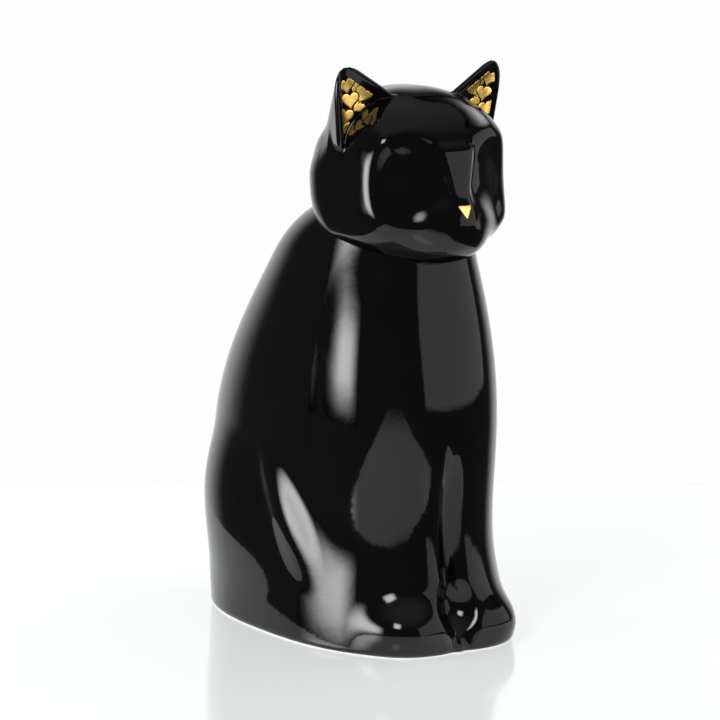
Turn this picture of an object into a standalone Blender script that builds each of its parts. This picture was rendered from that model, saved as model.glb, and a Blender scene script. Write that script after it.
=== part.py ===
"""Sitting cat figurine: a hollow slip-cast body and head in black glaze, with gilded ears and nose.

Metres, +Z up. The cat faces -Y and its right side is -X. Every piece hangs on the empty "figurine",
whose place puts the origin under the middle of the figure's bounding box.
"""
import math

import bmesh
import bpy
import numpy as np
from mathutils import Vector

# Driving dimensions
WALL = 0.0042            # slip-cast wall
GAP = 0.0003             # between touching pieces
FOOT_EDGE = 0.0012       # rounding of the foot rim
BODY_TOP = 0.186         # body form, inside the head
NAPE = Vector((0, -0.030, 0.193))   # the top slopes down behind this point
NAPE_SLOPE = 0.25
CENTRE = Vector((-0.00067, -0.00373, 0))     # moves the figure's middle to the origin

# Trunk: control values every STATION from FIRST_STATION up
STATION = 0.030
FIRST_STATION = -0.030
HALF_WIDTH = (0.0520, 0.0520, 0.0470, 0.0432, 0.0450, 0.0435, 0.0370, 0.0315, 0.0270, 0.0220)
FRONT = (-0.0840, -0.0830, -0.0735, -0.0690, -0.0730, -0.0705, -0.0650, -0.0590, -0.0520, -0.0450)
BACK = (0.0775, 0.0785, 0.0905, 0.0910, 0.0855, 0.0700, 0.0485, 0.0240, -0.0040, -0.0200)
SECTION_POWER = 2.45

# Head
HEAD_CENTRE = Vector((0, -0.033, 0.198))
HEAD_HALF_WIDTH = 0.0386
FACE_DEPTH = 0.0430
NAPE_DEPTH = 0.0365
CROWN_HEIGHT = 0.0375
JAW_HEIGHT = 0.0355
NECK_BORE_RADIUS = 0.012

# Ears, given for the cat's left side and mirrored for its right
EAR_TIP = Vector((0.0428, -0.0490, 0.2502))
EAR_INNER = Vector((0.0100, -0.0510, 0.2315))
EAR_OUTER = Vector((0.0388, -0.0446, 0.2115))
EAR_BACK = Vector((0.0280, -0.0180, 0.2210))
EAR_REACH = 1.12         # how far the cone runs on into the head
EAR_RIM = 0.0029
EAR_SINK = 0.0027
EAR_ROUNDING = 0.0026

# Gilding
GILT_THICKNESS = 0.0004
GILT_LINE = 0.0006       # black line left between two patches
RIM_MARGIN = 0.0005
BROW_MARGIN = 0.0008
NOSE_CENTRE = Vector((0, -0.0795, 0.1868))
NOSE_WIDTH = 0.0080
NOSE_HEIGHT = 0.0058
# name: place in the ear panel (inwards from the tip, down from the tip), width, turn in degrees. A later
# heart gives way to the ones before it.
HEARTS = {
    "middle": (0.0060, 0.0112, 0.0072, 8),
    "crown": (0.0111, 0.0091, 0.0064, -26),
    "top": (0.0036, 0.0054, 0.0064, 14),
    "lower": (0.0042, 0.0172, 0.0068, -8),
    "bottom": (0.0032, 0.0216, 0.0060, 12),
    "upper": (0.0074, 0.0066, 0.0050, -24),
    "rim": (0.0020, 0.0135, 0.0046, 20),
    "inner": (0.0098, 0.0131, 0.0052, -50),
}

# Closing plate and stopper
PLATE_BOTTOM = 0.0042
PLATE_THICKNESS = 0.0050
PLATE_CLEARANCE = 0.0008
FILLER_RADIUS = 0.0145
STOPPER_FLANGE_RADIUS = 0.0185
STOPPER_FLANGE_BOTTOM = 0.0014
STOPPER_TOP = 0.0150
STOPPER_TAPER = 0.0008
KNOB_RADIUS = 0.0055
KNOB_RECESS_RADIUS = 0.0110
KNOB_RECESS_DEPTH = 0.0060

# Mesh density: spokes, rings
BODY_MESH = (52, 28)
CAVITY_MESH = (30, 12)
HEAD_MESH = (48, 28)
HEAD_CAVITY_MESH = (24, 14)
ROUND_STEPS = 32


# Distance-like functions on arrays of points: negative inside, positive outside

def smooth_union(a, b, blend):
    overlap = np.maximum(blend - np.abs(a - b), 0) / blend
    return np.minimum(a, b) - overlap * overlap * blend / 4


def smooth_cut(a, b, blend):
    return -smooth_union(-a, b, blend)


def smooth_common(a, b, blend):
    return -smooth_union(-a, -b, blend)


def turned_x(points, degrees):
    c, s = math.cos(math.radians(degrees)), math.sin(math.radians(degrees))
    return points @ np.array([[1, 0, 0], [0, c, -s], [0, s, c]])


def turned_z(points, degrees):
    c, s = math.cos(math.radians(degrees)), math.sin(math.radians(degrees))
    return points @ np.array([[c, -s, 0], [s, c, 0], [0, 0, 1]])


def ellipsoid(local, radii):
    radii = np.array(radii)
    near = np.linalg.norm(local / radii, axis=-1)
    far = np.linalg.norm(local / radii**2, axis=-1)
    return near * (near - 1) / np.maximum(far, 1e-6)


def half_space(points, through, normal):
    normal = np.array(Vector(normal).normalized())
    return (points - np.array(through)) @ normal


def profile(z, controls):
    """Cubic B-spline over evenly spaced stations."""
    total = np.zeros_like(z)
    for i, value in enumerate(controls):
        t = np.abs((z - FIRST_STATION) / STATION - i)
        near = 2 / 3 - t**2 + t**3 / 2
        far = (2 - t) ** 3 / 6
        total += value * np.where(t < 1, near, np.where(t < 2, far, 0))
    return total


def folded(points):
    """The same points with the cat's two sides laid on each other."""
    return np.column_stack((np.abs(points[:, 0]), points[:, 1:]))


def trunk(points):
    x, y, z = points.T
    z = np.clip(z, 0, BODY_TOP)
    width, front, back = (profile(z, values) for values in (HALF_WIDTH, FRONT, BACK))
    middle, length = (front + back) / 2, (back - front) / 2
    power = SECTION_POWER
    level = (np.abs(x / width) ** power + np.abs((y - middle) / length) ** power) ** (1 / power)
    return np.hypot(x, y - middle) * (1 - 1 / np.maximum(level, 1e-4))


def tail(points, trunk_distance):
    """Low relief that lies round the foot of the figure, from behind along the cat's left side."""
    x, y, z = points.T
    angle = np.arctan2(x, y)
    start, end = -0.20, 1.95
    along = np.clip((angle - start) / (end - start), 0, 1)
    past = np.maximum(np.maximum(start - angle, angle - end), 0) * 0.05
    radius = 0.0080 - 0.0025 * along
    return np.sqrt((trunk_distance + 0.0040) ** 2 + (z - 0.0110 + 0.002 * along) ** 2 + past**2) - radius


def torso_form(points):
    both = folded(points)
    form = trunk(points)
    haunch = ellipsoid(turned_x(both - (0.026, 0.024, 0.040), 38), (0.0235, 0.056, 0.043))
    shank = ellipsoid(turned_x(both - (0.0290, -0.0106, 0.0505), 55.6), (0.0175, 0.050, 0.016))
    paw = ellipsoid(both - (0.0195, -0.0655, 0.0095), (0.0150, 0.0160, 0.0115))
    foreleg = ellipsoid(both - (0.014, -0.041, 0.090), (0.023, 0.023, 0.081))
    shin_groove = ellipsoid(both - (0, -0.078, 0.045), (0.005, 0.013, 0.036))
    paw_notch = ellipsoid(both - (0, -0.080, 0.020), (0.008, 0.011, 0.009))
    form = smooth_union(form, haunch, 0.006)
    form = smooth_union(form, shank, 0.004)
    form = smooth_union(form, foreleg, 0.008)
    form = smooth_union(form, paw, 0.010)
    form = smooth_cut(form, shin_groove, 0.007)
    form = smooth_cut(form, paw_notch, 0.005)
    return smooth_common(form, half_space(points, NAPE, (0, NAPE_SLOPE, 1)), 0.018)


def body_form(points):
    torso = torso_form(points)
    return smooth_union(torso, tail(points, torso), 0.004)


def skull(both):
    x, y, z = (both - np.array(HEAD_CENTRE)).T
    face = np.clip(0.5 - y / 0.016, 0, 1)
    face = face * face * (3 - 2 * face)
    power = 2.15 + 1.30 * face
    taper = 1 - 0.13 * np.clip(z / 0.022, 0, 1) ** 1.5
    y = y / (NAPE_DEPTH * taper + (FACE_DEPTH - NAPE_DEPTH * taper) * face)
    x = x / (HEAD_HALF_WIDTH * (taper + (1 - taper) * face))
    z = z / np.where(z > 0, CROWN_HEIGHT, JAW_HEIGHT)
    level = (np.abs(x) ** power + np.abs(y) ** power) ** (1 / power)
    power = np.where(z > 0, 2.10 + 0.30 * face, 2.70)
    return ((level**power + np.abs(z) ** power) ** (1 / power) - 1) * 0.037


def nose_bridge(both):
    x, y, z = both.T
    width = 0.0022 + 0.20 * (np.clip(z, 0.180, 0.215) - 0.186)
    face = half_space(both, (0, -0.0763, 0.198), (0, -0.97, 0.20))
    form = smooth_common(x - width, face, 0.002)
    form = smooth_common(form, z - 0.211, 0.003)
    form = smooth_common(form, y + 0.060, 0.002)
    return smooth_common(form, 0.184 - z, 0.003)


def eye_pocket(both):
    """A shallow oval pocket whose nearly flat floor faces outwards and slightly up."""
    x, y, z = turned_z(both - (0.0183, -0.0689, 0.1966), 28).T
    out = np.hypot(x / 0.0195, z / 0.0165)
    floor = y - 0.08 * z - 0.0010 * (1 - out**2)
    return smooth_common((out - 1) * 0.0165, floor, 0.010)


def head_form(points):
    both = folded(points)
    temple = half_space(both, (0.0366, -0.045, 0.198), (0.993, -0.12, 0.03))
    muzzle = ellipsoid(both - (0, -0.0645, 0.1780), (0.0185, 0.0178, 0.0165))
    chin = half_space(both, (0, -0.072, 0.163), (0, -0.35, -0.93))
    form = smooth_common(skull(both), temple, 0.005)
    form = smooth_cut(form, eye_pocket(both), 0.0045)
    form = smooth_union(form, nose_bridge(both), 0.005)
    form = smooth_union(form, muzzle, 0.007)
    return smooth_common(form, chin, 0.008)


def reach_to(form, origins, directions, longest=0.13):
    """How far each ray runs from inside a form to its surface."""
    low, high = np.zeros(len(origins)), np.full(len(origins), longest)
    for _ in range(40):
        middle = (low + high) / 2
        inside = form(origins + directions * middle[:, None]) < 0
        low, high = np.where(inside, middle, low), np.where(inside, high, middle)
    return low


# Blender helpers

def collection(name, hidden=False):
    made = bpy.data.collections.new(name)
    made.hide_render = hidden
    bpy.context.scene.collection.children.link(made)
    return made


def material(name, color, roughness, metallic=0.0):
    made = bpy.data.materials.new(name)
    made.use_nodes = True
    shader = made.node_tree.nodes["Principled BSDF"]
    shader.inputs["Base Color"].default_value = (*color, 1)
    shader.inputs["Roughness"].default_value = roughness
    shader.inputs["Metallic"].default_value = metallic
    made.diffuse_color = (*color, 1)
    return made


def place(name, mesh, finish=None):
    """An object on the figurine's empty: a part when it has a finish, else a cutter."""
    made = bpy.data.objects.new(name, mesh)
    made.parent = figurine
    if finish:
        mesh.materials.append(finish)
        parts.objects.link(made)
    else:
        made.hide_render = True
        made.display_type = "WIRE"
        cutters.objects.link(made)
    return made


def mesh_from(shape, name, side=1):
    """The finished mesh, mirrored to the cat's right when side is -1."""
    bmesh.ops.scale(shape, verts=shape.verts, vec=(side, 1, 1))
    shape.normal_update()
    bmesh.ops.recalc_face_normals(shape, faces=shape.faces)
    mesh = bpy.data.meshes.new(name)
    shape.to_mesh(mesh)
    shape.free()
    mesh.shade_smooth()
    mesh.set_sharp_from_angle(angle=math.radians(40))
    return mesh


def boolean(target, operation, other):
    step = target.modifiers.new(f"{operation.lower()} {other.name}", "BOOLEAN")
    step.operation = operation
    step.object = other


# Skins: a sphere's points moved out along rays

def ball_points(shape):
    return np.array([tuple(vertex.co) for vertex in shape.verts])


def move_points(shape, points):
    for vertex, point in zip(shape.verts, points):
        vertex.co = point


def body_skin(name, form, spokes, inset, heights, edge=0.0):
    """A closed skin round the trunk's axis: one ring of points at each height, flat at both ends."""
    shape = bmesh.new()
    bmesh.ops.create_uvsphere(shape, u_segments=spokes, v_segments=len(heights) + 1, radius=1)
    ball = ball_points(shape)
    ring = np.rint((1 - np.arccos(np.clip(ball[:, 2], -1, 1)) / math.pi) * (len(heights) + 1))
    ring = np.clip(ring.astype(int) - 1, 0, len(heights) - 1)
    pole = np.abs(ball[:, 2]) > 0.9999
    z = np.array(heights)[ring]
    angle = np.arctan2(ball[:, 0], -ball[:, 1])
    angle = angle - 0.45 * np.sin(angle)      # spokes lie closer together at the front
    directions = np.column_stack((np.sin(angle), -np.cos(angle), np.zeros(len(angle))))
    level = np.clip(z, 0, BODY_TOP)
    middle = (profile(level, FRONT) + profile(level, BACK)) / 2
    reach = reach_to(form, np.column_stack((np.zeros(len(z)), middle, level)), directions) - inset
    reach = np.where(pole, 0, reach - edge * (ring == 0))
    points = np.column_stack((np.zeros(len(z)), middle, z)) + directions * reach[:, None]
    bmesh.ops.triangulate(shape, faces=shape.faces, quad_method="FIXED")    # the same way in every skin
    move_points(shape, points)
    return mesh_from(shape, name)


def head_skin(name, density, grown):
    shape = bmesh.new()
    bmesh.ops.create_uvsphere(shape, u_segments=density[0], v_segments=density[1], radius=1)
    directions = ball_points(shape)
    origins = np.tile(np.array(HEAD_CENTRE), (len(directions), 1))
    reach = reach_to(head_form, origins, directions) + grown
    move_points(shape, origins + directions * reach[:, None])
    return mesh_from(shape, name)


def cylinder(name, centre, radius, bottom, top):
    shape = bmesh.new()
    depth = top - bottom
    size = dict(radius1=radius, radius2=radius, depth=depth)
    bmesh.ops.create_cone(shape, cap_ends=True, segments=ROUND_STEPS, **size)
    bmesh.ops.translate(shape, verts=shape.verts, vec=(centre[0], centre[1], (bottom + top) / 2))
    return mesh_from(shape, name)


# Ears

def plane_of(a, b, c, inside):
    """(normal, offset) of the plane through three points, its normal pointing away from inside."""
    normal = (b - a).cross(c - a).normalized()
    if normal.dot(inside - a) > 0:
        normal.negate()
    return normal, normal.dot(a)


def corner(planes):
    solved = np.linalg.solve([tuple(normal) for normal, _ in planes], [offset for _, offset in planes])
    return Vector(solved)


def pyramid(name, tip, base, rounding, side):
    """A three-sided cone with its corners at tip and base."""
    shape = bmesh.new()
    bmesh.ops.create_cone(shape, cap_ends=True, segments=3, radius1=1, radius2=0, depth=1)
    bmesh.ops.remove_doubles(shape, verts=shape.verts, dist=1e-6)
    low = sorted((v for v in shape.verts if v.co.z < 0), key=lambda v: math.atan2(v.co.y, v.co.x))
    high = next(v for v in shape.verts if v.co.z > 0)
    for vertex, point in zip([high, *low], [tip, *base]):
        vertex.co = point
    if rounding:
        bmesh.ops.bevel(shape, geom=shape.edges, offset=rounding, segments=3, profile=0.5, affect="EDGES")
    return mesh_from(shape, name, side)


def ear_planes():
    """The ear's front, upper and outer planes."""
    inside = (EAR_TIP + EAR_INNER + EAR_OUTER + EAR_BACK) / 4
    front = plane_of(EAR_TIP, EAR_INNER, EAR_OUTER, inside)
    upper = plane_of(EAR_TIP, EAR_INNER, EAR_BACK, inside)
    outer = plane_of(EAR_TIP, EAR_OUTER, EAR_BACK, inside)
    return front, upper, outer


def plane_distance(plane):
    return lambda points: points @ np.array(plane[0]) - plane[1]


def shifted(plane, distance):
    return plane[0], plane[1] + distance


def ear_panel_cutter(name, side):
    """The recess in the ear's front: a pyramid that opens forwards from the sunk panel."""
    front, upper, outer = ear_planes()
    panel = shifted(front, -EAR_SINK)
    mouth = shifted(front, 0.012)
    upper, outer = shifted(upper, -EAR_RIM), shifted(outer, -EAR_RIM)
    below = (Vector((0, 0, -1)), -(EAR_OUTER.z - 0.012))
    shape = bmesh.new()
    corners = [corner((face, a, b)) for face in (panel, mouth)
               for a, b in ((upper, outer), (upper, below), (outer, below))]
    bmesh.ops.create_cone(shape, cap_ends=True, segments=3, radius1=1, radius2=1, depth=2)
    order = sorted(shape.verts, key=lambda v: (v.co.z, math.atan2(v.co.y, v.co.x)))
    for vertex, point in zip(order, corners):
        vertex.co = point
    return mesh_from(shape, name, side)


def panel_axes(side):
    """Origin at the panel's tip, and the panel's inward, upward and outward directions."""
    front, upper, outer = ear_planes()
    origin = corner((shifted(front, -EAR_SINK), shifted(upper, -EAR_RIM), shifted(outer, -EAR_RIM)))
    normal = front[0]
    up = (Vector((0, 0, 1)) - normal * normal.z).normalized()
    inwards = normal.cross(up)
    if inwards.x > 0:
        inwards.negate()
    turned = [Vector((v.x * side, v.y, v.z)) for v in (origin, inwards, up, normal)]
    return turned


# Gilding

def heart_radius(directions):
    """Distance from a one-unit-wide heart's middle to its outline, point down, at each angle."""
    t = np.linspace(-math.pi, math.pi, 361)[:-1]
    x = np.sin(t) ** 3 / 2
    y = (13 * np.cos(t) - 5 * np.cos(2 * t) - 2 * np.cos(3 * t) - np.cos(4 * t)) / 32 + 0.06
    angle, radius = np.arctan2(y, x), np.hypot(x, y)
    order = np.argsort(angle)
    return np.interp(directions, angle[order], radius[order], period=2 * math.pi)


def past_heart(places, heart):
    """How far places in the panel lie outside a heart."""
    inward, down, width, turn = heart
    offset = places - (inward, -down)
    angle = np.arctan2(offset[:, 1], offset[:, 0]) - math.radians(turn)
    return np.hypot(*offset.T) - heart_radius(angle) * width


def gilt_plate(name, outline, origin, across, up, normal, thickness):
    """A disc whose rim follows an outline in the plane of across and up, thickened along normal."""
    shape = bmesh.new()
    bmesh.ops.create_circle(shape, cap_ends=True, segments=len(outline), radius=1)
    rim = sorted(shape.verts, key=lambda v: math.atan2(v.co.y, v.co.x))
    for vertex, (x, y) in zip(rim, outline):
        vertex.co = origin + across * x + up * y
    grown = bmesh.ops.extrude_face_region(shape, geom=shape.faces[:])
    moved = [v for v in grown["geom"] if isinstance(v, bmesh.types.BMVert)]
    bmesh.ops.translate(shape, verts=moved, vec=normal * thickness)
    return mesh_from(shape, name)


def heart_outline(heart, earlier, spokes=36):
    """A heart's outline about its own middle, held back by the ear's rim, the brow and the earlier hearts."""
    inward, down, width, turn = heart
    origin, inwards, up, _ = (np.array(v) for v in panel_axes(1))
    _, upper, outer = (plane_distance(plane) for plane in ear_planes())
    angle = -math.pi + 2 * math.pi * (np.arange(spokes) + 0.5) / spokes
    limit = heart_radius(angle - math.radians(turn)) * width
    steps = np.linspace(0, 1, 60)
    reach = np.outer(limit, steps)
    across = inward + reach * np.cos(angle)[:, None]
    along = reach * np.sin(angle)[:, None] - down
    places = np.stack([across, along], axis=2).reshape(-1, 2)
    points = origin + places[:, :1] * inwards + places[:, 1:] * up
    room = -np.maximum(upper(points), outer(points)) - EAR_RIM - RIM_MARGIN
    room = np.minimum(room, head_form(points) - BROW_MARGIN)
    for other in earlier:
        room = np.minimum(room, past_heart(places, other) - GILT_LINE)
    free = (room > 0).reshape(reach.shape)
    free[:, 0] = True
    open_steps = np.cumprod(free, axis=1).sum(axis=1) - 1
    radius = np.maximum(limit * steps[open_steps], 0.0003)
    return list(zip(radius * np.cos(angle), radius * np.sin(angle)))


def nose_outline(width, height, margin=0.0, steps=18):
    """A rounded triangle, point down."""
    points = []
    for i in range(steps):
        angle = -math.pi + 2 * math.pi * (i + 0.5) / steps
        bulge = 1 / (1 + 0.28 * math.cos(3 * (angle + math.pi / 2)) * -1)
        points.append((
            math.cos(angle) * (width / 2 * 0.78 * bulge + margin),
            math.sin(angle) * (height / 2 * 0.86 * bulge + margin),
        ))
    return points


# Parts

def make_head(glaze):
    head = place("head_casting", head_skin("head_casting", HEAD_MESH, 0), glaze)
    hollow = place("head_hollow", head_skin("head_hollow", HEAD_CAVITY_MESH, -WALL))
    sides = {"left": 1, "right": -1}
    for name, side in sides.items():
        base = [EAR_TIP + (point - EAR_TIP) * EAR_REACH for point in (EAR_INNER, EAR_OUTER, EAR_BACK)]
        ear = place(f"{name}_ear_form", pyramid(f"{name}_ear_form", EAR_TIP, base, EAR_ROUNDING, side))
        recess = ear_panel_cutter(f"{name}_ear_recess", side)
        boolean(ear, "DIFFERENCE", place(f"{name}_ear_recess", recess))
        boolean(head, "UNION", ear)
    boolean(head, "DIFFERENCE", hollow)
    bore = cylinder("neck_bore", (0, HEAD_CENTRE.y), NECK_BORE_RADIUS, 0.150, 0.185)
    boolean(head, "DIFFERENCE", place("neck_bore", bore))
    return head


def make_nose(head, gilt):
    across = Vector((1, 0, 0))
    up = Vector((0, 0.10, 1)).normalized()
    forward = Vector((0, -1, 0.10)).normalized()
    outline = nose_outline(NOSE_WIDTH, NOSE_HEIGHT)
    plate = gilt_plate("nose_gilding", outline, NOSE_CENTRE, across, up, forward, 0.0012)
    place("nose_gilding", plate, gilt)
    seat_outline = nose_outline(NOSE_WIDTH, NOSE_HEIGHT, GAP)
    seat = gilt_plate("nose_seat", seat_outline, NOSE_CENTRE - forward * GAP, across, up, forward, 0.008)
    boolean(head, "DIFFERENCE", place("nose_seat", seat))


def make_hearts(gilt):
    for side_name, side in (("left", 1), ("right", -1)):
        origin, inwards, up, normal = panel_axes(side)
        earlier = []
        for heart_name, heart in HEARTS.items():
            outline = heart_outline(heart, earlier)
            earlier.append(heart)
            centre = origin + inwards * heart[0] - up * heart[1] + normal * GAP
            name = f"{side_name}_ear_heart_{heart_name}"
            place(name, gilt_plate(name, outline, centre, inwards, up, normal, GILT_THICKNESS), gilt)


def make_body(glaze, clearance):
    rings = BODY_MESH[1]
    heights = [0, FOOT_EDGE, *(FOOT_EDGE + (BODY_TOP - FOOT_EDGE) * i / rings for i in range(1, rings + 1))]
    skin = body_skin("body_casting", body_form, BODY_MESH[0], 0, heights, FOOT_EDGE)
    body = place("body_casting", skin, glaze)
    rings = CAVITY_MESH[1]
    top = BODY_TOP - WALL
    heights = [-0.002, PLATE_BOTTOM, PLATE_BOTTOM + PLATE_THICKNESS]
    heights += [heights[-1] + (top - heights[-1]) * i / rings for i in range(1, rings + 1)]
    cavity = place("body_hollow", body_skin("body_hollow", torso_form, CAVITY_MESH[0], WALL, heights))
    boolean(body, "DIFFERENCE", cavity)
    boolean(body, "DIFFERENCE", clearance)
    return body


def make_base_plate(bisque):
    heights = [PLATE_BOTTOM, PLATE_BOTTOM + PLATE_THICKNESS]
    skin = body_skin("base_plate", torso_form, CAVITY_MESH[0], WALL + PLATE_CLEARANCE, heights)
    plate = place("base_plate", skin, bisque)
    bore = cylinder("filler_bore", (0, 0), FILLER_RADIUS, 0, 0.02)
    boolean(plate, "DIFFERENCE", place("filler_bore", bore))


def make_stopper(rubber):
    """A turned rubber bung, profile from the top of its outer side down and in to the knob."""
    plug = FILLER_RADIUS - GAP
    flange_top = PLATE_BOTTOM - GAP
    knob_root = STOPPER_FLANGE_BOTTOM + KNOB_RECESS_DEPTH
    points = [
        (0, STOPPER_TOP),
        (plug - STOPPER_TAPER - 0.001, STOPPER_TOP),
        (plug - STOPPER_TAPER, STOPPER_TOP - 0.001),
        (plug, flange_top),
        (STOPPER_FLANGE_RADIUS - 0.0006, flange_top),
        (STOPPER_FLANGE_RADIUS, flange_top - 0.0006),
        (STOPPER_FLANGE_RADIUS, STOPPER_FLANGE_BOTTOM + 0.0006),
        (STOPPER_FLANGE_RADIUS - 0.0006, STOPPER_FLANGE_BOTTOM),
        (KNOB_RECESS_RADIUS, STOPPER_FLANGE_BOTTOM),
        (KNOB_RECESS_RADIUS - 0.001, knob_root),
        (KNOB_RADIUS - 0.0008, knob_root),
        (KNOB_RADIUS, STOPPER_FLANGE_BOTTOM + 0.001),
        (KNOB_RADIUS - 0.001, STOPPER_FLANGE_BOTTOM),
        (0, STOPPER_FLANGE_BOTTOM),
    ]
    mesh = bpy.data.meshes.new("filler_stopper")
    mesh.from_pydata([(x, 0, z) for x, z in points], [(i, i + 1) for i in range(len(points) - 1)], [])
    stopper = place("filler_stopper", mesh, rubber)
    turn = stopper.modifiers.new("turned", "SCREW")
    turn.steps = turn.render_steps = ROUND_STEPS
    turn.use_merge_vertices = True
    turn.merge_threshold = 1e-5


for old in list(bpy.data.objects):
    bpy.data.objects.remove(old)

parts = collection("cat_figurine")
cutters = collection("cutters", hidden=True)
figurine = bpy.data.objects.new("figurine", None)
figurine.location = CENTRE
parts.objects.link(figurine)

black_glaze = material("black_glaze", (0.006, 0.007, 0.007), 0.06)
gold_lustre = material("gold_lustre", (0.83, 0.58, 0.17), 0.25, 1.0)
bare_ceramic = material("bare_ceramic", (0.72, 0.70, 0.65), 0.75)
stopper_rubber = material("stopper_rubber", (0.05, 0.05, 0.05), 0.7)

head_clearance = place("head_clearance", head_skin("head_clearance", HEAD_MESH, GAP))
head_casting = make_head(black_glaze)
make_nose(head_casting, gold_lustre)
make_hearts(gold_lustre)
make_body(black_glaze, head_clearance)
make_base_plate(bare_ceramic)
make_stopper(stopper_rubber)
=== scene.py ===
"""Sitting cat figurine in black glaze, with gold hearts in its ears, a gold nose and a bare foot ring.

Metres, +Z up. The cat faces -Y and its right side is -X. The castings are skins over smooth distance
fields, which are written in the cat's own frame: its origin is on the table, on the filler stopper's axis.
"""
import math

import bmesh
import bpy
import numpy as np
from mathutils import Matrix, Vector


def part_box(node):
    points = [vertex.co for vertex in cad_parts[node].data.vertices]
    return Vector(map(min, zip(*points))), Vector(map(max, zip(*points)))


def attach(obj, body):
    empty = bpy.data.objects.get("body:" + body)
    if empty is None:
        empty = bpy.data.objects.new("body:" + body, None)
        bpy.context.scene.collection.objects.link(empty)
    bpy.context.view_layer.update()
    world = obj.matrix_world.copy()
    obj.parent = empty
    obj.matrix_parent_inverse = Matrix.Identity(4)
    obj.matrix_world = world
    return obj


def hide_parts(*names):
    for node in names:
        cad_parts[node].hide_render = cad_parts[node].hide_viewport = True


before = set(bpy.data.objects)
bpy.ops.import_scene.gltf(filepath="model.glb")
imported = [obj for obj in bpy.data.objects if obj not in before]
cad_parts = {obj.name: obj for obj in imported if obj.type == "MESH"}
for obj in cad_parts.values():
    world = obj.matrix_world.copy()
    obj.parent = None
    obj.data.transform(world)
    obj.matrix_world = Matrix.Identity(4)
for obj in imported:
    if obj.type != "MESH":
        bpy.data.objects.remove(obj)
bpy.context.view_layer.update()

# The cat's frame: the filler stopper stands on its vertical axis
stopper_low, stopper_high = (Vector(corner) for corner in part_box("filler_stopper"))
AXIS = (stopper_low + stopper_high) / 2
AXIS.z = 0

# Trunk: half width, front and back every STATION from FIRST_STATION up
STATION = 0.030
FIRST_STATION = -0.030
HALF_WIDTH = (0.0520, 0.0520, 0.0470, 0.0432, 0.0450, 0.0435, 0.0370, 0.0315, 0.0270, 0.0220)
FRONT = (-0.0820, -0.0812, -0.0735, -0.0690, -0.0730, -0.0705, -0.0650, -0.0590, -0.0520, -0.0450)
BACK = (0.0785, 0.0810, 0.0920, 0.0910, 0.0855, 0.0700, 0.0485, 0.0240, -0.0040, -0.0200)
SECTION_POWER = 2.45
WALL = 0.0042
BODY_TOP = 0.186
BODY_END = ((0, -0.030, 0.193), (0, 0.25, 1))  # plane that closes the body inside the head
BODY_END_BLEND = 0.018
FOOT_ROUNDING = 0.0030
FOOT_HOLLOW = 0.0120
FOOT_HOLLOW_BLEND = 0.002
CAST_EDGE = 0.0012
# Masses on the trunk and grooves in it: middle, lean about X in degrees, radii and blend
MASSES = {
    "haunch": ((0.0260, 0.0240, 0.0400), 38, (0.0235, 0.0560, 0.0430), 0.006),
    "shank": ((0.0290, -0.0106, 0.0505), 55.6, (0.0182, 0.0500, 0.0160), 0.004),
    "foreleg": ((0.0140, -0.0410, 0.0900), 0, (0.0230, 0.0230, 0.0810), 0.008),
    "paw": ((0.0188, -0.0645, 0.0095), 0, (0.0150, 0.0160, 0.0115), 0.010),
}
GROOVES = {
    "shins": ((0, -0.0780, 0.0450), 0, (0.0050, 0.0130, 0.0360), 0.007),
    "paws": ((0, -0.0800, 0.0200), 0, (0.0080, 0.0110, 0.0090), 0.005),
}

# Tail: its ends are angles round the trunk from straight behind, towards the cat's left
TAIL_ENDS = (-0.20, 1.95)
TAIL_RADIUS = 0.0080
TAIL_TIP_RADIUS = 0.0055
TAIL_DEPTH = 0.0040
TAIL_HEIGHT = 0.0110
TAIL_DROP = 0.002
TAIL_END_PULL = 0.05
TAIL_BLEND = 0.004

# Head
HEAD_CENTRE = (0, -0.033, 0.198)
HEAD_HALF_WIDTH = 0.0386
FACE_DEPTH = 0.0430
NAPE_DEPTH = 0.0365
CROWN_HEIGHT = 0.0375
JAW_HEIGHT = 0.0355
SKULL_SCALE = 0.037
FACE_FADE = 0.016          # length over which the nape's section turns into the face's
NAPE_POWER = 2.15
FACE_POWER_GAIN = 1.30
CROWN_POWER = 2.10
BROW_POWER_GAIN = 0.14
JAW_POWER = 2.70
CROWN_TAPER = 0.13
CROWN_TAPER_HEIGHT = 0.022
TEMPLE = ((0.0366, -0.045, 0.198), (0.993, -0.12, 0.03))
CHIN = ((0, -0.072, 0.163), (0, -0.35, -0.93))
MUZZLE = (0, -0.0645, 0.1780)
MUZZLE_RADII = (0.0185, 0.0178, 0.0165)
TEMPLE_BLEND = 0.005
MUZZLE_BLEND = 0.007
CHIN_BLEND = 0.008

# Nose bridge: a flat front that widens upwards
BRIDGE_FRONT = ((0, -0.0763, 0.198), (0, -0.97, 0.20))
BRIDGE_HALF_WIDTH = 0.0014
BRIDGE_SPREAD = 0.18
BRIDGE_NARROW = 0.186      # height of that half width
BRIDGE_RANGE = (0.180, 0.215)
BRIDGE_TOP = 0.211
BRIDGE_LOW = 0.184
BRIDGE_BACK = -0.060
BRIDGE_CREST_BLEND = 0.002
BRIDGE_END_BLEND = 0.003
BRIDGE_BLEND = 0.005

# Eye pockets
POCKET = (0.0183, -0.0702, 0.1968)
POCKET_TURN = 30
POCKET_HALF_WIDTH = 0.0198
POCKET_UP = 0.0200
POCKET_DOWN = 0.0170
POCKET_WALL = 0.0175
POCKET_TILT = 0.07
POCKET_DISH = 0.0003
POCKET_FLOOR_BLEND = 0.009
POCKET_BLEND = 0.005

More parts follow.
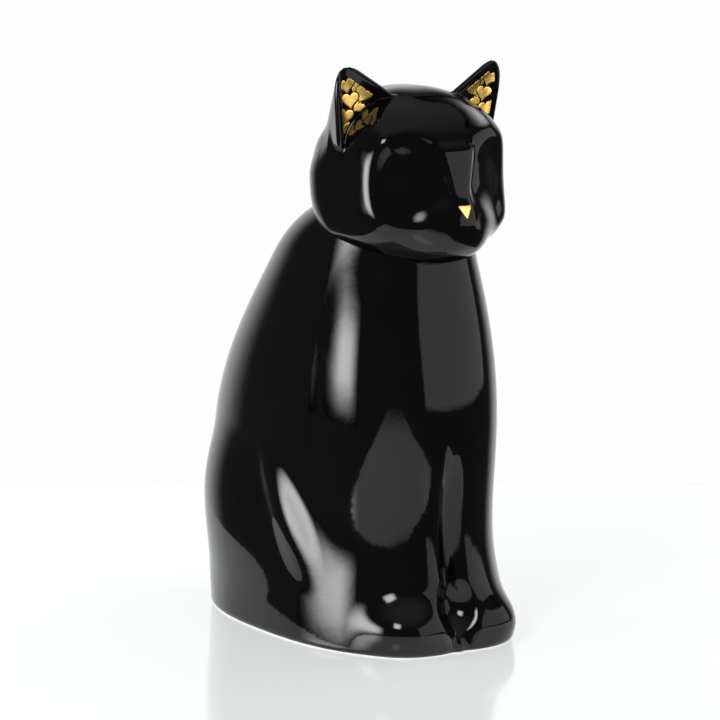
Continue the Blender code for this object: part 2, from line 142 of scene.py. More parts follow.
# Ears, on the cat's left side; both sides are worked out as one
EAR_TIP = Vector((0.0440, -0.0490, 0.2534))
EAR_INNER = Vector((0.0100, -0.0510, 0.2315))
EAR_OUTER = Vector((0.0388, -0.0446, 0.2115))
EAR_BACK = Vector((0.0315, -0.0178, 0.2210))
EAR_INSIDE = Vector((0.0280, -0.0400, 0.2240))
EAR_LOW = 0.2085
EAR_RIM = 0.0025
EAR_SINK = 0.0027
EAR_TIP_BLEND = 0.012
EAR_FRONT_BLEND = 0.003
EAR_LOW_BLEND = 0.006
PANEL_TIP_BLEND = 0.005
PANEL_FLOOR_BLEND = 0.0035

# Gilding
GILT_HEIGHT = 0.00016
GILT_LINE = 0.00048        # black line left between two patches
RIM_MARGIN = 0.0004
BROW_MARGIN = 0.0007
LEAST_RADIUS = 0.0002
NOSE_CENTRE = Vector((0, -0.0795, 0.1868))
NOSE_WIDTH = 0.0080
NOSE_HEIGHT = 0.0058
# Place in the ear panel (inwards from the tip, down from the tip), width and turn in degrees. A later
# heart gives way to the ones before it.
HEARTS = {
    "middle": (0.0062, 0.0136, 0.0076, 8),
    "crown": (0.0117, 0.0113, 0.0078, -26),
    "top": (0.0040, 0.0073, 0.0072, 14),
    "lower": (0.0042, 0.0202, 0.0074, -8),
    "bottom": (0.0040, 0.0250, 0.0060, 12),
    "upper": (0.0082, 0.0082, 0.0056, -24),
    "rim": (0.0024, 0.0165, 0.0050, 20),
    "inner": (0.0098, 0.0162, 0.0064, -50),
}

# Skin fineness
COARSENESS = 1
BODY_CELL = 0.0013 * COARSENESS
HEAD_CELL = 0.00075 * COARSENESS
PLATE_CELL = 0.0010
BODY_SPAN = (-0.062, -0.094, -0.003), (0.062, 0.100, 0.196)
HEAD_SPAN = (-0.048, -0.084, 0.155), (0.048, 0.008, 0.252)
PLATE_SPAN = (-0.056, -0.086, 0.001), (0.056, 0.086, 0.012)

# Closing plate and stopper
PLATE_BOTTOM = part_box("base_plate")[0][2]
PLATE_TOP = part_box("base_plate")[1][2]
PLATE_CLEARANCE = 0.0003
FILLER_RADIUS = 0.0145
STOPPER_CLEARANCE = 0.0003
STOPPER_TAPER = 0.0008
KNOB_RADIUS = 0.0055
KNOB_DRAFT = 0.0008
KNOB_CHAMFER = 0.0010
KNOB_RECESS_RADIUS = 0.0110
KNOB_RECESS_DEPTH = 0.0060

# View and studio
VIEW_AZIMUTH = -32.6
VIEW_ELEVATION = 9.2
VIEW_DISTANCE = 1.5
VIEW_TARGET = Vector((0, -0.0005, 0.1138)) + AXIS
LENS = 173.3
TABLE_BACK = 0.293         # edge behind the cat, seen from the camera
TABLE_FRONT = 1.30
TABLE_HALF_WIDTH = 0.20
TABLE_PAINTED_FALLOFF = (0.40, 1.30)  # how far out its painted light falloff darkens its tone and glow
# Diffusers: azimuth and elevation in degrees, distance, width, height, strength and the share of the
# width that fades
DIFFUSERS = {
    "key_diffuser": (-104, 2, 0.75, 0.60, 0.36, 10.0, 0.42),
    "high_diffuser": (-57, 30, 0.90, 0.36, 0.34, 11.0, 0.35),
    "side_diffuser": (95, 42, 1.0, 0.95, 0.50, 3.8, 0.5),
    "front_card": (42, 12, 1.1, 1.80, 0.72, 0.75, 0.05),
}
GOLD_FILL = (10, 20, 0.9, 1.6, 1.3, 2.1, 0.25)


# Distance fields over arrays of points in the cat's frame: negative inside, positive outside

def smooth_union(a, b, blend):
    overlap = np.maximum(blend - np.abs(a - b), 0) / blend
    return np.minimum(a, b) - overlap * overlap * blend / 4


def smooth_cut(a, b, blend):
    return -smooth_union(-a, b, blend)


def smooth_common(a, b, blend):
    return -smooth_union(-a, -b, blend)


def turned_x(points, degrees):
    c, s = math.cos(math.radians(degrees)), math.sin(math.radians(degrees))
    return points @ np.array([[1, 0, 0], [0, c, -s], [0, s, c]])


def turned_z(points, degrees):
    c, s = math.cos(math.radians(degrees)), math.sin(math.radians(degrees))
    return points @ np.array([[c, -s, 0], [s, c, 0], [0, 0, 1]])


def ellipsoid(local, radii):
    radii = np.array(radii)
    near = np.linalg.norm(local / radii, axis=-1)
    far = np.linalg.norm(local / radii**2, axis=-1)
    return near * (near - 1) / np.maximum(far, 1e-6)


def half_space(points, through, normal):
    normal = np.array(Vector(normal).normalized())
    return (points - np.array(through)) @ normal


def profile(z, controls):
    """Cubic B-spline over evenly spaced stations."""
    total = np.zeros_like(z)
    for i, value in enumerate(controls):
        t = np.abs((z - FIRST_STATION) / STATION - i)
        near = 2 / 3 - t**2 + t**3 / 2
        far = (2 - t) ** 3 / 6
        total += value * np.where(t < 1, near, np.where(t < 2, far, 0))
    return total


def folded(points):
    """The same points with the cat's two sides laid on each other."""
    return np.column_stack((np.abs(points[:, 0]), points[:, 1:]))


def trunk(points):
    x, y, z = points.T
    z = np.clip(z, 0, BODY_TOP)
    width, front, back = (profile(z, values) for values in (HALF_WIDTH, FRONT, BACK))
    middle, length = (front + back) / 2, (back - front) / 2
    power = SECTION_POWER
    level = (np.abs(x / width) ** power + np.abs((y - middle) / length) ** power) ** (1 / power)
    return np.hypot(x, y - middle) * (1 - 1 / np.maximum(level, 1e-4))


def tail(points, trunk_distance):
    """Low relief that lies round the foot of the figure, from behind along the cat's left side."""
    x, y, z = points.T
    angle = np.arctan2(x, y)
    start, end = TAIL_ENDS
    along = np.clip((angle - start) / (end - start), 0, 1)
    past = np.maximum(np.maximum(start - angle, angle - end), 0) * TAIL_END_PULL
    inward, lift = trunk_distance + TAIL_DEPTH, z - TAIL_HEIGHT + TAIL_DROP * along
    radius = TAIL_RADIUS - (TAIL_RADIUS - TAIL_TIP_RADIUS) * along
    return np.sqrt(inward**2 + lift**2 + past**2) - radius


def torso(points):
    both = folded(points)
    form = trunk(points)
    for middle, lean, radii, blend in MASSES.values():
        form = smooth_union(form, ellipsoid(turned_x(both - middle, lean), radii), blend)
    for middle, lean, radii, blend in GROOVES.values():
        form = smooth_cut(form, ellipsoid(turned_x(both - middle, lean), radii), blend)
    return smooth_common(form, half_space(points, *BODY_END), BODY_END_BLEND)


def body(points):
    """The body casting: closed inside the head, hollowed from below above its foot ring."""
    trunk_and_legs = torso(points)
    form = smooth_union(trunk_and_legs, tail(points, trunk_and_legs), TAIL_BLEND)
    form = smooth_common(form, -points[:, 2], FOOT_ROUNDING)
    hollow = smooth_common(trunk_and_legs + WALL, points[:, 2] - FOOT_HOLLOW, FOOT_HOLLOW_BLEND)
    return smooth_cut(form, hollow, CAST_EDGE)


def skull(both):
    """A rounded box, squarer at the face than at the nape."""
    x, y, z = (both - np.array(HEAD_CENTRE)).T
    face = np.clip(0.5 - y / FACE_FADE, 0, 1)
    face = face * face * (3 - 2 * face)
    power = NAPE_POWER + FACE_POWER_GAIN * face
    taper = 1 - CROWN_TAPER * np.clip(z / CROWN_TAPER_HEIGHT, 0, 1) ** 1.5
    y = y / (NAPE_DEPTH * taper + (FACE_DEPTH - NAPE_DEPTH * taper) * face)
    x = x / (HEAD_HALF_WIDTH * (taper + (1 - taper) * face))
    z = z / np.where(z > 0, CROWN_HEIGHT, JAW_HEIGHT)
    level = (np.abs(x) ** power + np.abs(y) ** power) ** (1 / power)
    power = np.where(z > 0, CROWN_POWER + BROW_POWER_GAIN * face, JAW_POWER)
    return ((level**power + np.abs(z) ** power) ** (1 / power) - 1) * SKULL_SCALE


def nose_bridge(both):
    x, y, z = both.T
    half_width = BRIDGE_HALF_WIDTH + BRIDGE_SPREAD * (np.clip(z, *BRIDGE_RANGE) - BRIDGE_NARROW)
    form = smooth_common(x - half_width, half_space(both, *BRIDGE_FRONT), BRIDGE_CREST_BLEND)
    form = smooth_common(form, z - BRIDGE_TOP, BRIDGE_END_BLEND)
    form = smooth_common(form, y - BRIDGE_BACK, BRIDGE_CREST_BLEND)
    return smooth_common(form, BRIDGE_LOW - z, BRIDGE_END_BLEND)


def eye_pocket(both):
    """A shallow oval pocket whose nearly flat floor faces outwards and slightly up."""
    x, y, z = turned_z(both - POCKET, POCKET_TURN).T
    out = np.hypot(x / POCKET_HALF_WIDTH, z / np.where(z > 0, POCKET_UP, POCKET_DOWN))
    floor = y - POCKET_TILT * z - POCKET_DISH * (1 - out**2)
    return smooth_common((out - 1) * POCKET_WALL, floor, POCKET_FLOOR_BLEND)


def bare_head(both):
    """The head without its ears."""
    form = smooth_common(skull(both), half_space(both, *TEMPLE), TEMPLE_BLEND)
    form = smooth_cut(form, eye_pocket(both), POCKET_BLEND)
    form = smooth_union(form, nose_bridge(both), BRIDGE_BLEND)
    form = smooth_union(form, ellipsoid(both - MUZZLE, MUZZLE_RADII), MUZZLE_BLEND)
    return smooth_common(form, half_space(both, *CHIN), CHIN_BLEND)


def plane_of(a, b, c, inside):
    """(normal, offset) of the plane through three points, its normal pointing away from inside."""
    normal = (b - a).cross(c - a).normalized()
    if normal.dot(inside - a) > 0:
        normal.negate()
    return normal, normal.dot(a)


def ear_planes():
    """The ear's front, upper and outer planes."""
    front = plane_of(EAR_TIP, EAR_INNER, EAR_OUTER, EAR_INSIDE)
    upper = plane_of(EAR_TIP, EAR_INNER, EAR_BACK, EAR_INSIDE)
    outer = plane_of(EAR_TIP, EAR_OUTER, EAR_BACK, EAR_INSIDE)
    return front, upper, outer


def from_plane(points, plane):
    return points @ np.array(plane[0]) - plane[1]


def inside_rim(both):
    """Negative between the inner faces of the ear's rim."""
    _, upper, outer = ear_planes()
    wedge = smooth_common(from_plane(both, upper), from_plane(both, outer), PANEL_TIP_BLEND)
    return wedge + EAR_RIM


def head(points):
    """The head casting: an ear cone on each side with a sunk front panel."""
    both = folded(points)
    front, upper, outer = (from_plane(both, plane) for plane in ear_planes())
    ear = smooth_common(smooth_common(upper, outer, EAR_TIP_BLEND), front, EAR_FRONT_BLEND)
    ear = smooth_common(ear, EAR_LOW - both[:, 2], EAR_LOW_BLEND)
    panel = smooth_common(inside_rim(both), -(front + EAR_SINK), PANEL_FLOOR_BLEND)
    ear = smooth_cut(ear, panel, CAST_EDGE)
    behind_panel = np.clip((front + EAR_SINK + 0.004) / -0.006, 0, 1)
    return smooth_union(bare_head(both), ear, behind_panel * 0.005 + 0.0008)


def base_plate(points):
    edge = torso(points) + WALL + PLATE_CLEARANCE
    middle, half = (PLATE_BOTTOM + PLATE_TOP) / 2, (PLATE_TOP - PLATE_BOTTOM) / 2
    slab = smooth_common(edge, np.abs(points[:, 2] - middle) - half, CAST_EDGE)
    bore = np.hypot(points[:, 0], points[:, 1]) - FILLER_RADIUS
    return smooth_cut(slab, bore, CAST_EDGE)


# Skins over the fields

def field_on_grid(form, axes):
    """The field's values on a grid, one layer at a time."""
    x, y = np.meshgrid(axes[0], axes[1], indexing="ij")
    layers = [form(np.column_stack((x.ravel(), y.ravel(), np.full(x.size, z)))) for z in axes[2]]
    return np.stack([layer.reshape(x.shape) for layer in layers], axis=2)


def cell_corner(values, offset):
    """The values at one corner of every cell."""
    return values[tuple(slice(o, o + n - 1) for o, n in zip(offset, values.shape))]


def net_points(values, cells):
    """The middle of each crossed cell's crossings, in cells from the grid's corner."""
    total, count = np.zeros((len(cells), 3)), np.zeros(len(cells))
    for axis in range(3):
        for side in range(4):
            start = np.insert([side % 2, side // 2], axis, 0)
            end = start + np.eye(3, dtype=int)[axis]
            a = values[tuple((cells + start).T)]
            b = values[tuple((cells + end).T)]
            crossed = (a < 0) != (b < 0)
            share = np.where(crossed, a / np.where(crossed, a - b, 1), 0)
            total += crossed[:, None] * (start + share[:, None] * (end - start))
            count += crossed
    return cells + total / count[:, None]


def net_faces(inside, number):
    """One quad round each grid edge that crosses the skin, facing outwards."""
    faces = []
    for axis in range(3):
        u, v = (axis + 1) % 3, (axis + 2) % 3
        low = np.take(inside, range(inside.shape[axis] - 1), axis)
        high = np.take(inside, range(1, inside.shape[axis]), axis)
        for edges, flip in ((low & ~high, False), (~low & high, True)):
            at = np.argwhere(edges)
            ring = [(-1, -1), (0, -1), (0, 0), (-1, 0)]
            if flip:
                ring.reverse()
            corners = []
            for du, dv in ring:
                cell = at.copy()
                cell[:, u] += du
                cell[:, v] += dv
                corners.append(number[tuple(cell.T)])
            faces.append(np.stack(corners, axis=1))
    return np.concatenate(faces)


def slope(form, points, reach):
    """The field's gradient by central differences."""
    sides = [form(points + step) - form(points - step) for step in np.eye(3) * reach]
    return np.stack(sides, axis=1) / (2 * reach)


def settle(form, points, reach):
    """The points moved along the gradient onto the skin."""
    gradient = slope(form, points, reach)
    return points - gradient * (form(points) / (gradient**2).sum(axis=1))[:, None]


def relaxed(points, faces, rounds, form, reach):
    """The points spread evenly: each moves to the middle of its neighbours and back onto the skin."""
    ends = np.concatenate([faces[:, [i, (i + 1) % 4]] for i in range(4)])
    near = np.concatenate((ends[:, 0], ends[:, 1]))
    far = np.concatenate((ends[:, 1], ends[:, 0]))
    count = np.bincount(near, minlength=len(points))[:, None]
    for _ in range(rounds):
        total = np.stack([np.bincount(near, points[far, i], len(points)) for i in range(3)], axis=1)
        points = settle(form, 0.5 * points + 0.5 * total / count, reach)
    return settle(form, points, reach)


def skin(name, form, low, high, cell, reach, rounds=4):
    """A closed, evenly meshed skin of the field between two corners, with the field's own normals."""
    low, high = np.array(low), np.array(high)
    axes = [np.arange(a, b + cell, cell) for a, b in zip(low, high)]
    values = field_on_grid(form, axes)
    inside = values < 0
    corners = sum(cell_corner(inside, offset).astype(int) for offset in np.ndindex(2, 2, 2))
    crossed = (corners > 0) & (corners < 8)
    cells = np.argwhere(crossed)
    number = np.full(crossed.shape, -1)
    number[crossed] = np.arange(len(cells))
    faces = net_faces(inside, number)
    points = low + net_points(values, cells) * cell
    points = relaxed(settle(form, points, reach), faces, rounds, form, reach)
    mesh = bpy.data.meshes.new(name)
    mesh.from_pydata((points + np.array(AXIS)).tolist(), [], faces.tolist())
    mesh.update()
    mesh.shade_smooth()
    normals = slope(form, points, reach / 2)
    normals /= np.linalg.norm(normals, axis=1)[:, None]
    mesh.normals_split_custom_set_from_vertices(normals.tolist())
    return piece_from(name, mesh)


def piece_from(name, mesh):
    made = bpy.data.objects.new(name, mesh)
    bpy.context.scene.collection.objects.link(made)
    return made


def finish(piece, body_name, slot, material, *nodes):
    piece.data.materials.append(material)
    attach(piece, body_name)
    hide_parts(*nodes)


# Gilding

def heart_radius(directions):
    """Distance from a one-unit-wide heart's middle to its outline, point down, at each angle."""
    t = np.linspace(-math.pi, math.pi, 361)[:-1]
    x = np.sin(t) ** 3 / 2
    y = (13 * np.cos(t) - 5 * np.cos(2 * t) - 2 * np.cos(3 * t) - np.cos(4 * t)) / 32 + 0.06
    angle, radius = np.arctan2(y, x), np.hypot(x, y)
    order = np.argsort(angle)
    return np.interp(directions, angle[order], radius[order], period=2 * math.pi)


def past_heart(places, heart):
    """How far places in the panel lie outside a heart."""
    inward, down, width, turn = heart
    offset = places - (inward, -down)
    angle = np.arctan2(offset[:, 1], offset[:, 0]) - math.radians(turn)
    return np.hypot(*offset.T) - heart_radius(angle) * width


def panel_axes():
    """Origin at the sunk panel's tip, and its inward, upward and outward directions."""
    front, upper, outer = ear_planes()
    normals = [tuple(plane[0]) for plane in (front, upper, outer)]
    offsets = [front[1] - EAR_SINK, upper[1] - EAR_RIM, outer[1] - EAR_RIM]
    origin = Vector(np.linalg.solve(normals, offsets))
    up = (Vector((0, 0, 1)) - front[0] * front[0].z).normalized()
    inwards = front[0].cross(up)
    if inwards.x > 0:
        inwards.negate()
    return origin, inwards, up, front[0]


def laid_on(form, points, direction):
    """The points slid along a direction onto the skin."""
    low, high = np.full(len(points), -0.004), np.full(len(points), 0.003)
    for _ in range(24):
        middle = (low + high) / 2
        within = form(points + direction * middle[:, None]) < 0
        low, high = np.where(within, middle, low), np.where(within, high, middle)
    return points + direction * low[:, None]


def patch(name, form, centre, across, up, outwards, radii, side=1):
    """A gold patch that follows the skin under it, round at its rim, given its radius at each spoke."""
    rings, spokes = 9, len(radii)
    angle = np.arange(spokes) * 2 * math.pi / spokes
    rim = np.stack([np.cos(angle) * radii, np.sin(angle) * radii], axis=1)
    fractions = [math.sin(math.pi / 2 * (i + 1) / rings) for i in range(rings)]
    heights = [GILT_HEIGHT * math.sqrt(1 - f**8) for f in fractions]
    flat = [rim * fraction for fraction in [0.0001, *fractions, 0.9999]]
    heights = [GILT_HEIGHT, *heights, -GILT_HEIGHT]
    across, up, outwards, centre = (np.array(v) for v in (across, up, outwards, centre))
    loops = []
    for loop, height in zip(flat, heights):
        on_skin = laid_on(form, centre + loop[:, :1] * across + loop[:, 1:] * up, outwards)
        loops.append(on_skin + outwards * height)
    points = np.concatenate(loops)
    points[:, 0] *= side
    shape = bmesh.new()
    vertices = [shape.verts.new(point) for point in points + np.array(AXIS)]
    for ring in range(len(loops) - 1):
        for i in range(spokes):
            j = (i + 1) % spokes
            a, b = ring * spokes, (ring + 1) * spokes
            shape.faces.new([vertices[k] for k in (a + i, b + i, b + j, a + j)])
    shape.faces.new(vertices[:spokes])
    shape.faces.new(vertices[-spokes:])
    bmesh.ops.recalc_face_normals(shape, faces=shape.faces)
    mesh = bpy.data.meshes.new(name)
    shape.to_mesh(mesh)
    shape.free()
    mesh.shade_smooth()
    mesh.set_sharp_from_angle(angle=math.radians(50))
    return piece_from(name, mesh)


def heart_radii(heart, earlier, spokes=96):
    """A heart's radius at each spoke, held back by the ear's rim, the brow and the earlier hearts."""
    inward, down, width, turn = heart
    origin, inwards, up, _ = (np.array(v) for v in panel_axes())
    angle = np.arange(spokes) * 2 * math.pi / spokes
    limit = heart_radius(angle - math.radians(turn)) * width
    steps = np.linspace(0, 1, 60)
    reach = np.outer(limit, steps)
    across = inward + reach * np.cos(angle)[:, None]
    along = reach * np.sin(angle)[:, None] - down
    places = np.stack([across, along], axis=2).reshape(-1, 2)
    points = origin + places[:, :1] * inwards + places[:, 1:] * up
    room = np.minimum(-inside_rim(points) - RIM_MARGIN, bare_head(points) - BROW_MARGIN)
    for other in earlier:
        room = np.minimum(room, past_heart(places, other) - GILT_LINE)
    free = (room > 0).reshape(reach.shape)
    free[:, 0] = True
    open_steps = np.cumprod(free, axis=1).sum(axis=1) - 1
    return np.maximum(limit * steps[open_steps], LEAST_RADIUS)


def make_hearts(gold):
    origin, inwards, up, outwards = panel_axes()
    for side_name, side in (("left", 1), ("right", -1)):
        earlier = []
        for heart_name, heart in HEARTS.items():
            radii = heart_radii(heart, earlier)
            earlier.append(heart)
            centre = origin + inwards * heart[0] - up * heart[1]
            name = f"{side_name}_ear_gilt_{heart_name}"
            made = patch(name, head, centre, inwards, up, outwards, radii, side)
            finish(made, "figurine", "gold_lustre", gold, f"{side_name}_ear_heart_{heart_name}")
            gilding.append(made)


def make_nose(gold):
    """A rounded triangle, point down, over the nose."""
    spokes = 72
    angle = np.arange(spokes) * 2 * math.pi / spokes
    edges = [np.maximum(np.cos(angle - math.radians(facing)), 0) ** 7 for facing in (90, 210, 330)]
    x, y = np.cos(angle) * NOSE_WIDTH / 4, np.sin(angle) * NOSE_HEIGHT / 3
    radii = np.hypot(x, y) * sum(edges) ** (-1 / 7)
    up = Vector((0, 0.1, 1)).normalized()
    outwards = Vector((0, -1, 0.1)).normalized()
    made = patch("gilt_nose", head, NOSE_CENTRE, Vector((1, 0, 0)), up, outwards, radii)
    finish(made, "figurine", "gold_lustre", gold, "nose_gilding")
    gilding.append(made)


# Stopper

def make_stopper(rubber):
    """A turned bung: plug, flange, and a finger knob in a ring-shaped recess."""
    plug = FILLER_RADIUS - STOPPER_CLEARANCE
    bottom, top = stopper_low.z, stopper_high.z
    flange = (stopper_high.x - stopper_low.x) / 2
    flange_top = PLATE_BOTTOM - STOPPER_CLEARANCE
    knob_root = bottom + KNOB_RECESS_DEPTH
    outline = [
        (0, top), (plug - STOPPER_TAPER, top), (plug, flange_top), (flange, flange_top),
        (flange, bottom), (KNOB_RECESS_RADIUS, bottom), (KNOB_RECESS_RADIUS - KNOB_CHAMFER, knob_root),
        (KNOB_RADIUS - KNOB_DRAFT, knob_root), (KNOB_RADIUS, bottom + KNOB_CHAMFER),
        (KNOB_RADIUS - KNOB_CHAMFER, bottom), (0, bottom),
    ]
    shape = bmesh.new()
    vertices = [shape.verts.new((x, 0, z)) for x, z in outline]
    edges = [shape.edges.new(pair) for pair in zip(vertices, vertices[1:])]
    whole, axis = vertices + edges, (0, 0, 1)
    bmesh.ops.spin(shape, geom=whole, cent=(0, 0, 0), axis=axis, angle=2 * math.pi, steps=96)
    bmesh.ops.remove_doubles(shape, verts=shape.verts, dist=1e-6)
    bmesh.ops.recalc_face_normals(shape, faces=shape.faces)
    bmesh.ops.translate(shape, verts=shape.verts, vec=AXIS)
    mesh = bpy.data.meshes.new("rubber_stopper")
    shape.to_mesh(mesh)
    shape.free()
    mesh.shade_smooth()
    made = piece_from("rubber_stopper", mesh)
    rounding = made.modifiers.new("moulded edges", "BEVEL")
    rounding.width = 0.0004
    rounding.segments = 3
    rounding.limit_method = "ANGLE"
    rounding.angle_limit = math.radians(25)
    rounding.harden_normals = True
    finish(made, "stopper", "stopper_rubber", rubber, "filler_stopper")


# Materials

class Value:
    """A socket in a node tree. Arithmetic on it adds Math nodes, and node() adds any other node."""

    def __init__(self, socket):
        self.socket = socket

    def node(self, kind, settings=None, inputs=None, output=0):
        tree = self.socket.id_data
        made = tree.nodes.new(kind)
        for name, value in (settings or {}).items():
            setattr(made, name, value)
        for name, value in (inputs or {}).items():
            if isinstance(value, Value):
                tree.links.new(value.socket, made.inputs[name])
            else:
                made.inputs[name].default_value = value
        return Value(made.outputs[output])

    def maths(self, operation, first, second):
        return self.node("ShaderNodeMath", {"operation": operation}, {0: first, 1: second})

    def __add__(self, other):
        return self.maths("ADD", self, other)

    __radd__ = __add__

    def __sub__(self, other):
        return self.maths("SUBTRACT", self, other)

    def __rsub__(self, other):
        return self.maths("SUBTRACT", other, self)

    def __mul__(self, other):
        return self.maths("MULTIPLY", self, other)

    __rmul__ = __mul__

    def between(self, low, high):
        """0 below low, 1 above high, smooth between."""
        inputs = {"Value": self, "From Min": low, "From Max": high}
        return self.node("ShaderNodeMapRange", {"interpolation_type": "SMOOTHSTEP"}, inputs)

    def noise(self, size, detail=2.0, roughness=0.5):
        """Noise at this position with lumps of a given size."""
        inputs = {"Vector": self, "Scale": 1 / size, "Detail": detail, "Roughness": roughness}
        return self.node("ShaderNodeTexNoise", None, inputs)

    def mixed(self, first, second):
        """The first colour where this is 0, the second where it is 1."""
        inputs = {"Factor": self, 6: first, 7: second}
        return self.node("ShaderNodeMix", {"data_type": "RGBA"}, inputs, 2)

    def height(self):
        return self.node("ShaderNodeSeparateXYZ", None, {0: self}, 2)

    def bump(self, distance):
        return self.node("ShaderNodeBump", None, {"Height": self, "Strength": 1.0, "Distance": distance})


def new_material(name, **constants):
    """A material, its Principled shader and the position on the piece, with the shader's constants set."""
    made = bpy.data.materials.new(name)
    made.use_nodes = True
    shader = made.node_tree.nodes["Principled BSDF"]
    for socket, value in constants.items():
        shader.inputs[socket.replace("_", " ")].default_value = value
    place = Value(made.node_tree.nodes.new("ShaderNodeTexCoord").outputs["Object"])
    return made, shader, place


def feed(shader, **links):
    for socket, value in links.items():
        shader.id_data.links.new(value.socket, shader.inputs[socket.replace("_", " ")])


def black_glaze():
    """Deep black glaze with faint pooling, a fine ripple and pinholes, wiped off at the foot ring."""
    made, shader, place = new_material("black_glaze", IOR=1.52)
    pooling = place.noise(0.020, 3.0)
    ripple = place.noise(0.0065, 2.0)
    peel = place.noise(0.0011, 2.0)
    pinholes = place.node("ShaderNodeTexVoronoi", None, {"Vector": place, "Scale": 420.0})
    pinholes = 1 - pinholes.between(0.04, 0.14)
    wiped = place.noise(0.004, 2.0)
    bare = 1 - (place.height() + wiped * 0.0006).between(0.0006, 0.0011)
    clay_grain = place.noise(0.0007, 3.0)
    colour = pooling.mixed((0.0016, 0.0019, 0.0018, 1), (0.0042, 0.0044, 0.0040, 1))
    clay = clay_grain.mixed((0.62, 0.58, 0.51, 1), (0.84, 0.82, 0.77, 1))
    relief = ripple * 0.55 + peel * 0.10 - pinholes * 0.10 + bare * clay_grain * 2.0
    feed(
        shader,
        Base_Color=bare.mixed(colour, clay),
        Roughness=(pooling * 0.02 + 0.045) * (1 - bare) + bare * 0.8,
        Normal=relief.bump(0.00006),
    )
    return made


def gold_lustre():
    """Brushed-on gold lustre: thin, bright, with streaks and worn brown patches."""
    made, shader, place = new_material("gold_lustre", Metallic=1.0)
    slanted = {"Vector": place, "Rotation": (0.3, 0.5, 0.6), "Scale": (1, 1, 5)}
    brushed = place.node("ShaderNodeMapping", None, slanted).noise(0.0022, 4.0, 0.65)
    worn = place.noise(0.0035, 3.0).between(0.48, 0.72)
    tone = brushed.mixed((0.78, 0.45, 0.09, 1), (1.0, 0.72, 0.24, 1))
    feed(
        shader,
        Base_Color=(worn * 0.45).mixed(tone, (0.50, 0.26, 0.06, 1)),
        Roughness=brushed * 0.22 + 0.26,
        Normal=(brushed * 0.8 + place.noise(0.0006, 2.0) * 0.4).bump(0.00007),
    )
    return made


def bare_ceramic():
    """Unglazed white earthenware with a fine grain and darker specks."""
    made, shader, place = new_material("bare_ceramic", Specular_IOR_Level=0.3)
    grain = place.noise(0.0006, 4.0, 0.7)
    stain = place.noise(0.012, 3.0)
    specks = place.node("ShaderNodeTexVoronoi", None, {"Vector": place, "Scale": 350.0})
    specks = specks.between(0.05, 0.12)
    tone = stain.mixed((0.80, 0.77, 0.71, 1), (0.66, 0.61, 0.53, 1))
    feed(
        shader,
        Base_Color=specks.mixed((0.42, 0.36, 0.29, 1), tone),
        Roughness=grain * 0.15 + 0.75,
        Normal=(grain + stain * 2.0).bump(0.00015),
    )
    return made


def stopper_rubber():
    """Dull black rubber with a moulded, slightly dusty skin."""
    made, shader, place = new_material("stopper_rubber", Specular_IOR_Level=0.35)
    grain = place.noise(0.0008, 4.0, 0.7)
    dust = place.noise(0.009, 4.0, 0.6).between(0.45, 0.75)
    feed(
        shader,
        Base_Color=dust.mixed((0.018, 0.018, 0.018, 1), (0.060, 0.058, 0.054, 1)),
        Roughness=grain * 0.2 + 0.6,
        Normal=grain.bump(0.00012),
    )
    return made


# Studio

def direction(azimuth, elevation):
    """Towards the horizon azimuth, measured from the cat's front towards its left, and up by elevation."""
    a, e = math.radians(azimuth), math.radians(elevation)
    return Vector((math.sin(a) * math.cos(e), -math.cos(a) * math.cos(e), math.sin(e)))


def panel_object(name, centre, aim, width, height):
    """A flat panel that faces aim, its width level."""
    bpy.ops.mesh.primitive_plane_add(size=1)
    made = bpy.context.object
    made.name = name
    made.location = centre
    made.rotation_euler = (aim - centre).to_track_quat("Z", "Y").to_euler()
    made.scale = (width, height, 1)
    return made


def lamp(name, azimuth, elevation, distance, width, height, strength, soft, clear=False):
    """A diffuser that fades towards its edges, seen in the glaze only; a clear one hides nothing."""
    aim = Vector((0, 0, 0.12))
    made = panel_object(name, aim + direction(azimuth, elevation) * distance, aim, width, height)
    made.visible_camera = False
    made.visible_shadow = False
    material = bpy.data.materials.new(name)
    material.use_nodes = True
    tree = material.node_tree
    tree.nodes.clear()
    place = Value(tree.nodes.new("ShaderNodeTexCoord").outputs["Generated"])
    sides = [place.node("ShaderNodeSeparateXYZ", None, {0: place}, axis) for axis in (0, 1)]
    fades = [side.maths("MINIMUM", side, 1 - side).between(0.0, soft) for side in sides]
    brightness = fades[0] * fades[1] * strength
    glow = place.node("ShaderNodeEmission", None, {"Color": (1, 1, 1, 1), "Strength": brightness})
    if clear:
        through = place.node("ShaderNodeBsdfTransparent")
        glow = place.node("ShaderNodeAddShader", None, {0: glow, 1: through})
    out = tree.nodes.new("ShaderNodeOutputMaterial")
    tree.links.new(glow.socket, out.inputs["Surface"])
    made.data.materials.append(material)
    return made


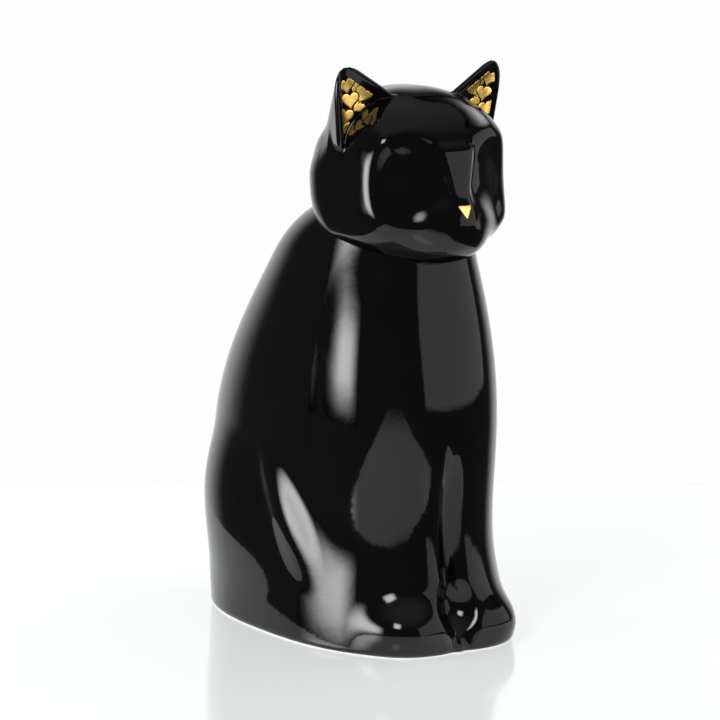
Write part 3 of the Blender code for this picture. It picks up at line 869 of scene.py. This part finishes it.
def make_table():
    """A pale satin table under the cat, its long edges square to the view. It glows in its own tone, and a
    painted light falloff darkens that tone and glow with distance from the cat.
    """
    away = -direction(VIEW_AZIMUTH, 0)
    across = Vector((away.y, -away.x, 0))
    corners = [
        (-TABLE_HALF_WIDTH, -TABLE_FRONT), (TABLE_HALF_WIDTH, -TABLE_FRONT),
        (TABLE_HALF_WIDTH, TABLE_BACK), (-TABLE_HALF_WIDTH, TABLE_BACK),
    ]
    shape = bmesh.new()
    shape.faces.new([shape.verts.new(AXIS + across * x + away * y) for x, y in corners])
    bmesh.ops.recalc_face_normals(shape, faces=shape.faces)
    if shape.faces[:][0].normal.z < 0:
        bmesh.ops.reverse_faces(shape, faces=shape.faces)
    mesh = bpy.data.meshes.new("table")
    shape.to_mesh(mesh)
    shape.free()
    table = piece_from("table", mesh)
    material, shader, place = new_material("pale_table", Roughness=0.12, Emission_Strength=0.62)
    far = place.node("ShaderNodeVectorMath", {"operation": "LENGTH"}, {0: place}, 1)
    tone = place.noise(0.30, 2.0).mixed((0.74, 0.77, 0.75, 1), (0.76, 0.785, 0.77, 1))
    # Painted shade: the table's tone, which it also glows with, falls off to dark grey far from the cat,
    # standing in for light falling off
    tone = far.between(*TABLE_PAINTED_FALLOFF).mixed(tone, (0.20, 0.22, 0.21, 1))
    feed(shader, Base_Color=tone, Emission_Color=tone)
    mesh.materials.append(material)


def make_world():
    """White behind the cat for the camera; for the glaze a dim room that is white behind the cat."""
    world = bpy.data.worlds.new("studio")
    bpy.context.scene.world = world
    world.use_nodes = True
    tree = world.node_tree
    tree.nodes.clear()
    ray = Value(tree.nodes.new("ShaderNodeTexCoord").outputs["Generated"])
    height = ray.height()
    away = -direction(VIEW_AZIMUTH, 0)
    behind = ray.node("ShaderNodeVectorMath", {"operation": "DOT_PRODUCT"}, {0: ray, 1: away}, 1)
    wall = behind.between(0.55, 0.85) * (1 - height.between(0.25, 0.60))
    ceiling = height.between(0.55, 0.95)
    room = wall * 0.95 + ceiling * 0.20 + 0.055
    seen = ray.node("ShaderNodeLightPath", output="Is Camera Ray")
    strength = seen * 0.985 + (1 - seen) * room
    glow = ray.node("ShaderNodeBackground", None, {"Color": (1, 1, 1, 1), "Strength": strength})
    out = tree.nodes.new("ShaderNodeOutputWorld")
    tree.links.new(glow.socket, out.inputs["Surface"])


def make_camera():
    camera = bpy.data.cameras.new("camera")
    camera.lens = LENS
    camera.clip_end = 20
    made = bpy.data.objects.new("camera", camera)
    bpy.context.scene.collection.objects.link(made)
    made.location = VIEW_TARGET + direction(VIEW_AZIMUTH, VIEW_ELEVATION) * VIEW_DISTANCE
    made.rotation_euler = (VIEW_TARGET - made.location).to_track_quat("-Z", "Y").to_euler()
    bpy.context.scene.camera = made


def make_studio():
    make_table()
    make_world()
    for name, values in DIFFUSERS.items():
        lamp(name, *values)
    gold_fill = lamp("gold_fill", *GOLD_FILL, clear=True)
    gold_pieces = bpy.data.collections.new("gold_pieces")
    for piece in gilding:
        gold_pieces.objects.link(piece)
    gold_fill.light_linking.receiver_collection = gold_pieces
    bpy.context.scene.view_settings.view_transform = "Standard"


gilding = []
make_camera()
glaze, gold, clay, rubber = black_glaze(), gold_lustre(), bare_ceramic(), stopper_rubber()
body_skin = skin("glazed_body", body, *BODY_SPAN, BODY_CELL, 0.0002)
finish(body_skin, "figurine", "black_glaze", glaze, "body_casting")
head_skin = skin("glazed_head", head, *HEAD_SPAN, HEAD_CELL, 0.0001)
finish(head_skin, "figurine", "black_glaze", glaze, "head_casting")
plate_skin = skin("bisque_base_plate", base_plate, *PLATE_SPAN, PLATE_CELL, 0.0001)
finish(plate_skin, "figurine", "bare_ceramic", clay, "base_plate")
make_hearts(gold)
make_nose(gold)
make_stopper(rubber)
make_studio()
